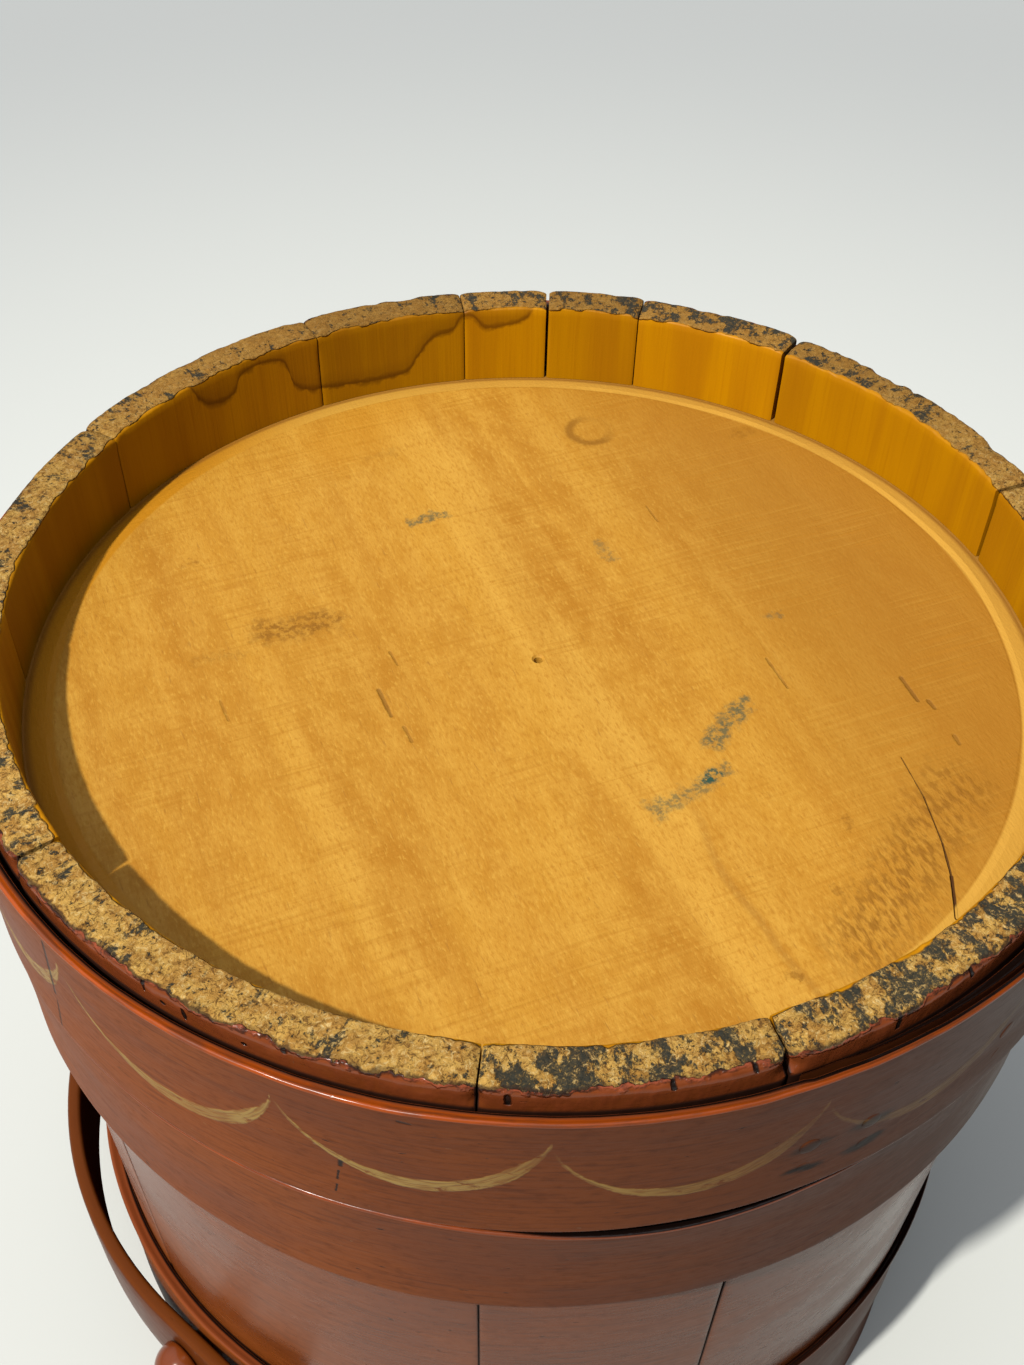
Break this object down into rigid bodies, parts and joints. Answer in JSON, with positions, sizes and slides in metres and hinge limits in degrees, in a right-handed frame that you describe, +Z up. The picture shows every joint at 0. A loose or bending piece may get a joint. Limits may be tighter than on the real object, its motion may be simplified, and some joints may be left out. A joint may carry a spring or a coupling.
{
  "type": "staved wooden bucket",
  "caption": "Round staved wooden bucket with bentwood hoops, a hinged bail and a lift-off lid, standing upside down on the lid.",
  "frame": {"origin": "centre of the lid's outer face, on the surface that the inverted bucket stands on", "axes": "+Z up along the bucket's axis, from the lid to the foot ring; X along the bail's pivots; the bail lies down towards +Y. Turn 180 degrees about Y for mouth up."},
  "size_m": [0.2656, 0.2858, 0.232],
  "materials": {
    "painted_stave": "old brick-red satin paint outside, varnish inside, bare worn end grain at the foot",
    "painted_hoop": "old brick-red satin paint, rubbed edges, gold swags on the foot hoop",
    "painted_lid": "old brick-red satin paint",
    "bare_board": "aged bare board with saw marks and stains",
    "bail_wood": "brown-red paint worn glossy",
    "turned_peg": "turned, glossy brown-red paint",
    "bare_wedge": "bare wood",
    "iron_tack": "rust-dark iron"
  },
  "bodies": {
    "lid": {"lid_board": "painted_lid", "lid_rim": "painted_hoop", "lid_rim_tacks": "iron_tack"},
    "bucket": {"stave_01": "painted_stave", "stave_02": "painted_stave", "stave_03": "painted_stave", "stave_04": "painted_stave", "stave_05": "painted_stave", "stave_06": "painted_stave", "stave_07": "painted_stave", "stave_08": "painted_stave", "stave_09": "painted_stave", "stave_10": "painted_stave", "stave_11": "painted_stave", "stave_12": "painted_stave", "bottom_board": "bare_board", "foot_hoop": "painted_hoop", "second_hoop": "painted_hoop", "mouth_hoop": "painted_hoop", "foot_hoop_tacks": "iron_tack", "second_hoop_tacks": "iron_tack", "mouth_hoop_tacks": "iron_tack", "left_peg": "turned_peg", "right_peg": "turned_peg", "left_wedge": "bare_wedge", "right_wedge": "bare_wedge"},
    "bail": {"bail": "bail_wood"}
  },
  "joints": [
    {"name": "lid_lift", "type": "slide", "parent": "lid", "child": "bucket", "axis": [0, 0, 1], "range_m": [0, 0.06]},
    {"name": "bail_swing", "type": "hinge", "parent": "bucket", "child": "bail", "pos_m": [0, 0, 0.045], "axis": [1, 0, 0], "range_deg": [-197, 42]}
  ]
}
